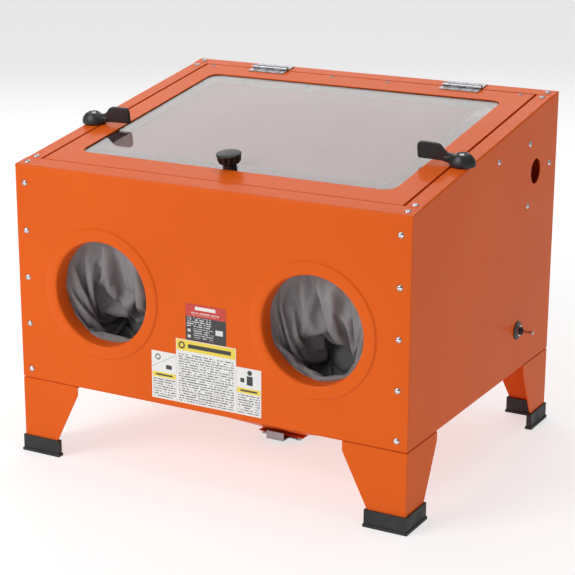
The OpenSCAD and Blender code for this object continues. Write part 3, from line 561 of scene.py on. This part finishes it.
# ---- latches and knob ----
def make_latch(name, side, material):
    """An oval dome over the rail with an upright rounded wing over the lid, moulded in one."""
    points, faces = [], []
    turns = [2 * math.pi * k / 48 for k in range(48)]
    rows = []
    for rx, ry, z in ((17.2, 13.2, 0.0), (18.0, 14.0, 1.0), (17.6, 13.6, 5.0), (16.3, 12.5, 8.6),
                      (13.8, 10.8, 12.0), (10.6, 9.0, 14.6), (7.8, 7.5, 16.0), (6.4, 6.4, 16.2),
                      (5.6, 5.6, 15.6), (5.3, 5.3, 13.0)):
        rows.append([(rx * math.cos(t), ry * math.sin(t), z + 0.4) for t in turns])
    add_rings(points, faces, rows)
    outline = [(-2, 1.6), (-14, 3.6), (-34, 4.8), (-60, 5.2), (-62, 7.0), (-62, 21.0), (-61.0, 24.6),
               (-58.4, 27.2), (-55.0, 28.0), (-36.0, 27.4), (-32.0, 26.4), (-29.0, 24.4), (-26.5, 21.4),
               (-24.0, 18.4), (-21.0, 16.2), (-17.0, 15.2), (-12, 15.0), (-6, 12.0), (-2, 8.0)]
    add_rings(points, faces, [[(x, y, z) for x, z in outline] for y in (-2.5, 2.5)])
    # A fillet where the wing's foot runs into the dome
    add_rings(points, faces, [[(-12, -6, 2.4), (-12, 6, 2.4), (-12, 6, 10.9), (-12, -6, 10.9)],
                              [(-26, -2.6, 4.0), (-26, 2.6, 4.0), (-26, 2.6, 10), (-26, -2.6, 10)]])
    obj = from_points(name, [Vector(p) / 1000 for p in points], faces)
    face_outwards(obj)
    remeshed(obj, 0.0007, 6)
    place = SLOPE_FRAME @ Matrix.Translation((side * LATCH_X, LATCH_S, 0))
    if side < 0:
        place = place @ Matrix.Scale(-1, 4, (1, 0, 0))
    obj.data.transform(place)
    if side < 0:
        obj.data.flip_normals()
    obj.data.materials.append(material)
    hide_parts(name.replace("_moulding", ""))
    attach(obj, name.replace("_moulding", ""))


def make_knob(plastic, zinc):
    """Fluted knob on the window's front edge, with the bolt, washer and nut behind the pane."""
    sides, lobes = 240, 12
    rows = []
    for radius, z, flute in ((0.0, 21.1, 0), (6, 20.9, 0), (11, 20.4, 0), (14.4, 19.8, 0), (16.2, 19.2, 0),
                             (16.9, 18.4, 0), (16.8, 17.4, 0), (16.2, 16.7, 0.1), (15.9, 16.3, 0.8),
                             (15.9, 15.4, 1), (15.8, 12.0, 1), (15.4, 9.0, 1), (14.6, 7.4, 0.9),
                             (12.8, 6.2, 0.5), (10.4, 5.6, 0.1), (9.6, 5.0, 0), (9.3, 3.6, 0),
                             (9.1, 2.0, 0), (9.6, -0.8, 0), (9.6, -1.5, 0)):
        row = []
        for k in range(sides):
            t = 2 * math.pi * k / sides
            dip = max(0.0, 0.5 - 0.5 * math.cos(lobes * t)) ** 2.2
            r = radius - 3.4 * flute * dip
            row.append((r * math.cos(t), r * math.sin(t), z))
        rows.append(row)
    points, faces = [], []
    add_rings(points, faces, list(reversed(rows)), True, False)
    obj = from_points("lid_knob_moulding", [Vector(p) / 1000 for p in points], faces)
    face_outwards(obj, 1e-6)
    shade(obj.data)
    obj.data.transform(SLOPE_FRAME @ Matrix.Translation((KNOB_X, KNOB_S, 0)))
    obj.data.materials.append(plastic)
    points, faces = [], []
    for r, z0, z1, count in ((7.0, -7.1, -5.6, 40), (4.6, -11.1, -7.1, 6), (2.45, -12.9, -11.0, 24)):
        b = min(0.5, (z1 - z0) / 4)
        add_rings(points, faces, [
            [(q * math.cos(2 * math.pi * k / count), q * math.sin(2 * math.pi * k / count), z)
             for k in range(count)] for q, z in ((r - b, z0), (r, z0 + b), (r, z1 - b), (r - b, z1))])
    bolt = from_points("lid_knob_bolt", [Vector(p) / 1000 for p in points], faces, smooth=False)
    bolt.data.transform(SLOPE_FRAME @ Matrix.Translation((KNOB_X, KNOB_S, 0)))
    bolt.data.materials.append(zinc)
    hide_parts("lid_knob")
    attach(obj, "lid")
    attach(bolt, "lid")


# ---- gloves ----
SLEEVE_SIDES, SLEEVE_ROWS = 72, 46
PINNED_ROWS = 3
SLEEVE_FRAMES = 34


def spline(knots, t):
    """Point at t (0 to 1) on a smooth curve through knots, which are tuples of equal length."""
    knots = [np.array(k, float) for k in knots]
    span = t * (len(knots) - 1)
    i = min(int(span), len(knots) - 2)
    u = span - i
    a, b = knots[max(i - 1, 0)], knots[i]
    c, d = knots[i + 1], knots[min(i + 2, len(knots) - 1)]
    return 0.5 * (2 * b + (c - a) * u + (2 * a - 5 * b + 4 * c - d) * u * u
                  + (3 * b - a - 3 * c + d) * u ** 3)


def sleeve_rows(knots, wrinkle, seed):
    """Rings along knots of (x, y, z, radius, tilt): the tilt turns a ring from the port to the floor."""
    rows = []
    for i in range(SLEEVE_ROWS):
        t = i / (SLEEVE_ROWS - 1)
        x, y, z, radius, tilt = spline(knots, t)
        row = []
        for k in range(SLEEVE_SIDES):
            a = 2 * math.pi * k / SLEEVE_SIDES
            n = noise.noise(Vector((math.cos(a) * 2.2, math.sin(a) * 2.2, t * 7 + seed)))
            r = radius * (1 + wrinkle * n * math.sin(math.pi * t) ** 0.5)
            side, lift = r * math.cos(a), r * math.sin(a)
            row.append(Vector((x + side, y + lift * math.sin(tilt), z + lift * math.cos(tilt))))
        rows.append(row)
    return rows


def simulate(obj, moved, frames):
    """Blender's cloth on obj, pinned at both ends, while its end is carried to the moved shape."""
    obj.shape_key_add(name="Basis")
    key = obj.shape_key_add(name="carried")
    for point, target in zip(key.data, moved):
        point.co = target
    key.value = 0.0
    key.keyframe_insert("value", frame=1)
    key.value = 1.0
    key.keyframe_insert("value", frame=int(frames * 0.6))
    cloth = obj.modifiers.new("cloth", "CLOTH")
    c = cloth.settings
    c.quality, c.mass, c.air_damping = 7, 0.25, 2.0
    c.tension_stiffness = c.compression_stiffness = 22
    c.shear_stiffness, c.bending_stiffness = 8, 0.12
    c.tension_damping = c.compression_damping = 8
    c.vertex_group_mass = "pinned"
    c.effector_weights.gravity = 1.0
    k = cloth.collision_settings
    k.use_collision, k.use_self_collision = False, True
    k.self_distance_min, k.collision_quality = 0.0016, 3
    cloth.point_cache.frame_start, cloth.point_cache.frame_end = 1, frames
    scene.frame_start, scene.frame_end = 1, frames
    for f in range(1, frames + 1):
        scene.frame_set(f)
    dg = bpy.context.evaluated_depsgraph_get()
    mesh = bpy.data.meshes.new_from_object(obj.evaluated_get(dg))
    obj.modifiers.clear()
    obj.shape_key_clear()
    obj.data = mesh


def make_sleeve(name, side, seed, material):
    """Fabric gauntlet from the collar down to the wrist, crumpled by the simulation."""
    px, pz = side * PORT_X, PORT_Z
    long_knots = [(px, COLLAR_Y, pz, 0.0762, 0.0), (px, -0.190, pz, 0.0745, 0.0),
                  (px, -0.150, pz - 0.004, 0.071, 0.08), (px, -0.108, pz - 0.018, 0.064, 0.3),
                  (px, -0.070, pz - 0.045, 0.050, 0.6), (px, -0.050, pz - 0.078, 0.030, 0.9)]
    shift = Vector((side * 0.002, -0.068, 0.008))
    rows = sleeve_rows(long_knots, 0.14, seed)
    points, faces = [], []
    add_rings(points, faces, rows, False, False)
    obj = from_points(name, points, faces)
    uv = obj.data.uv_layers.new(name="cloth")
    for loop in obj.data.loops:
        v = loop.vertex_index
        uv.data[loop.index].uv = (0.45 * (v % SLEEVE_SIDES) / SLEEVE_SIDES,
                                  0.22 * (v // SLEEVE_SIDES) / SLEEVE_ROWS)
    pinned = obj.vertex_groups.new(name="pinned")
    pinned.add(list(range(PINNED_ROWS * SLEEVE_SIDES)), 1.0, "REPLACE")
    last = SLEEVE_SIDES * (SLEEVE_ROWS - PINNED_ROWS)
    pinned.add(list(range(last, SLEEVE_SIDES * SLEEVE_ROWS)), 1.0, "REPLACE")
    moved = [p + shift if i >= last else p for i, p in enumerate(points)]
    simulate(obj, moved, SLEEVE_FRAMES)
    for v in obj.data.vertices:
        v.co.z = max(v.co.z, GRATE_TOP + 0.002)
        v.co.y = max(v.co.y, COLLAR_Y)
    solid = obj.modifiers.new("thickness", "SOLIDIFY")
    solid.thickness, solid.offset = 0.0009, 0.0
    sub = obj.modifiers.new("smooth", "SUBSURF")
    sub.levels = sub.render_levels = 1
    shade(obj.data)
    obj.data.materials.clear()
    obj.data.materials.append(material)
    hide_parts(name.replace("_sleeve", ""))
    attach(obj, "cabinet")
    return obj


def capsule(points, faces, a, b, ra, rb, sides=14, rings=5):
    """A closed skin round the line from a to b, with round ends."""
    a, b = Vector(a), Vector(b)
    axis = (b - a).normalized()
    u = axis.orthogonal().normalized()
    w = axis.cross(u)
    rows = []
    for centre, r, sign in ((a, ra, -1), (b, rb, 1)):
        for i in range(rings + 1):
            ang = math.pi / 2 * (1 - i / rings) if sign < 0 else math.pi / 2 * (i / rings)
            rr, off = max(r * math.cos(ang), r * 0.06), sign * r * math.sin(ang)
            rows.append([centre + axis * off + rr * (u * math.cos(2 * math.pi * k / sides)
                                                     + w * math.sin(2 * math.pi * k / sides))
                         for k in range(sides)])
    add_rings(points, faces, rows)


def make_hand(name, side, material):
    """Limp work glove lying palm down on the grate, fingers towards the back."""
    points, faces = [], []
    z = GRATE_TOP + 0.0125
    capsule(points, faces, (0.0, -0.113, 0.182), (0.0, -0.070, 0.148), 0.038, 0.028, 20)
    capsule(points, faces, (0.0, -0.072, 0.149), (0.0, -0.045, z + 0.003), 0.028, 0.021, 20)
    for x in (-0.018, 0.0, 0.018):
        capsule(points, faces, (x, -0.062, z + 0.007), (x * 1.1, -0.026, z), 0.017, 0.014)
    for i, (x0, x1, reach, droop) in enumerate(((-0.024, -0.027, 0.006, 0.0), (-0.0085, -0.010, 0.022, 0.001),
                                                (0.0085, 0.009, 0.024, 0.0), (0.024, 0.025, 0.013, 0.001))):
        middle = (x0 * 0.45 + x1 * 0.55 + 0.0015 * math.sin(i * 2.1), -0.026 + (reach + 0.026) * 0.55,
                  z + 0.0015 + droop)
        capsule(points, faces, (x0, -0.030, z), middle, 0.0102, 0.0096)
        capsule(points, faces, middle, (x1, reach, z - 0.0018), 0.0096, 0.0086)
    capsule(points, faces, (-0.020, -0.060, z + 0.004), (-0.0335, -0.038, z - 0.001), 0.0118, 0.0100)
    capsule(points, faces, (-0.0335, -0.038, z - 0.001), (-0.0350, -0.014, z - 0.002), 0.0100, 0.0088)
    flipped = [Vector((side * PORT_X + (p.x * side), p.y, p.z)) for p in points]
    obj = from_points(name, flipped, faces)
    face_outwards(obj)
    remeshed(obj, 0.0022, 5)
    for v in obj.data.vertices:
        p = v.co
        fold = noise.noise(Vector((p.x * 45, p.y * 70, p.z * 60 + side * 3))) * 0.0016
        fine = noise.noise(Vector((p.x * 150, p.y * 190, p.z * 150))) * 0.0005
        v.co += v.normal * (fold + fine)
        v.co.z = max(v.co.z, GRATE_TOP + 0.0004)
    uv = obj.data.uv_layers.new(name="cloth")
    for loop in obj.data.loops:
        p = obj.data.vertices[loop.vertex_index].co
        uv.data[loop.index].uv = (p.x + p.z * 0.5, p.y - p.z * 0.5)
    shade(obj.data)
    obj.data.materials.append(material)
    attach(obj, "cabinet")


make_camera()
make_studio()
black_plastic, zinc_plate = dress_nodes()
make_latch("latch_left_moulding", -1, black_plastic)
make_latch("latch_right_moulding", 1, black_plastic)
make_knob(black_plastic, zinc_plate)
cloth = make_cloth()
make_sleeve("glove_left_sleeve", -1, 4.0, cloth)
make_sleeve("glove_right_sleeve", 1, 11.0, cloth)
make_hand("glove_left_hand", -1, cloth)
make_hand("glove_right_hand", 1, cloth)
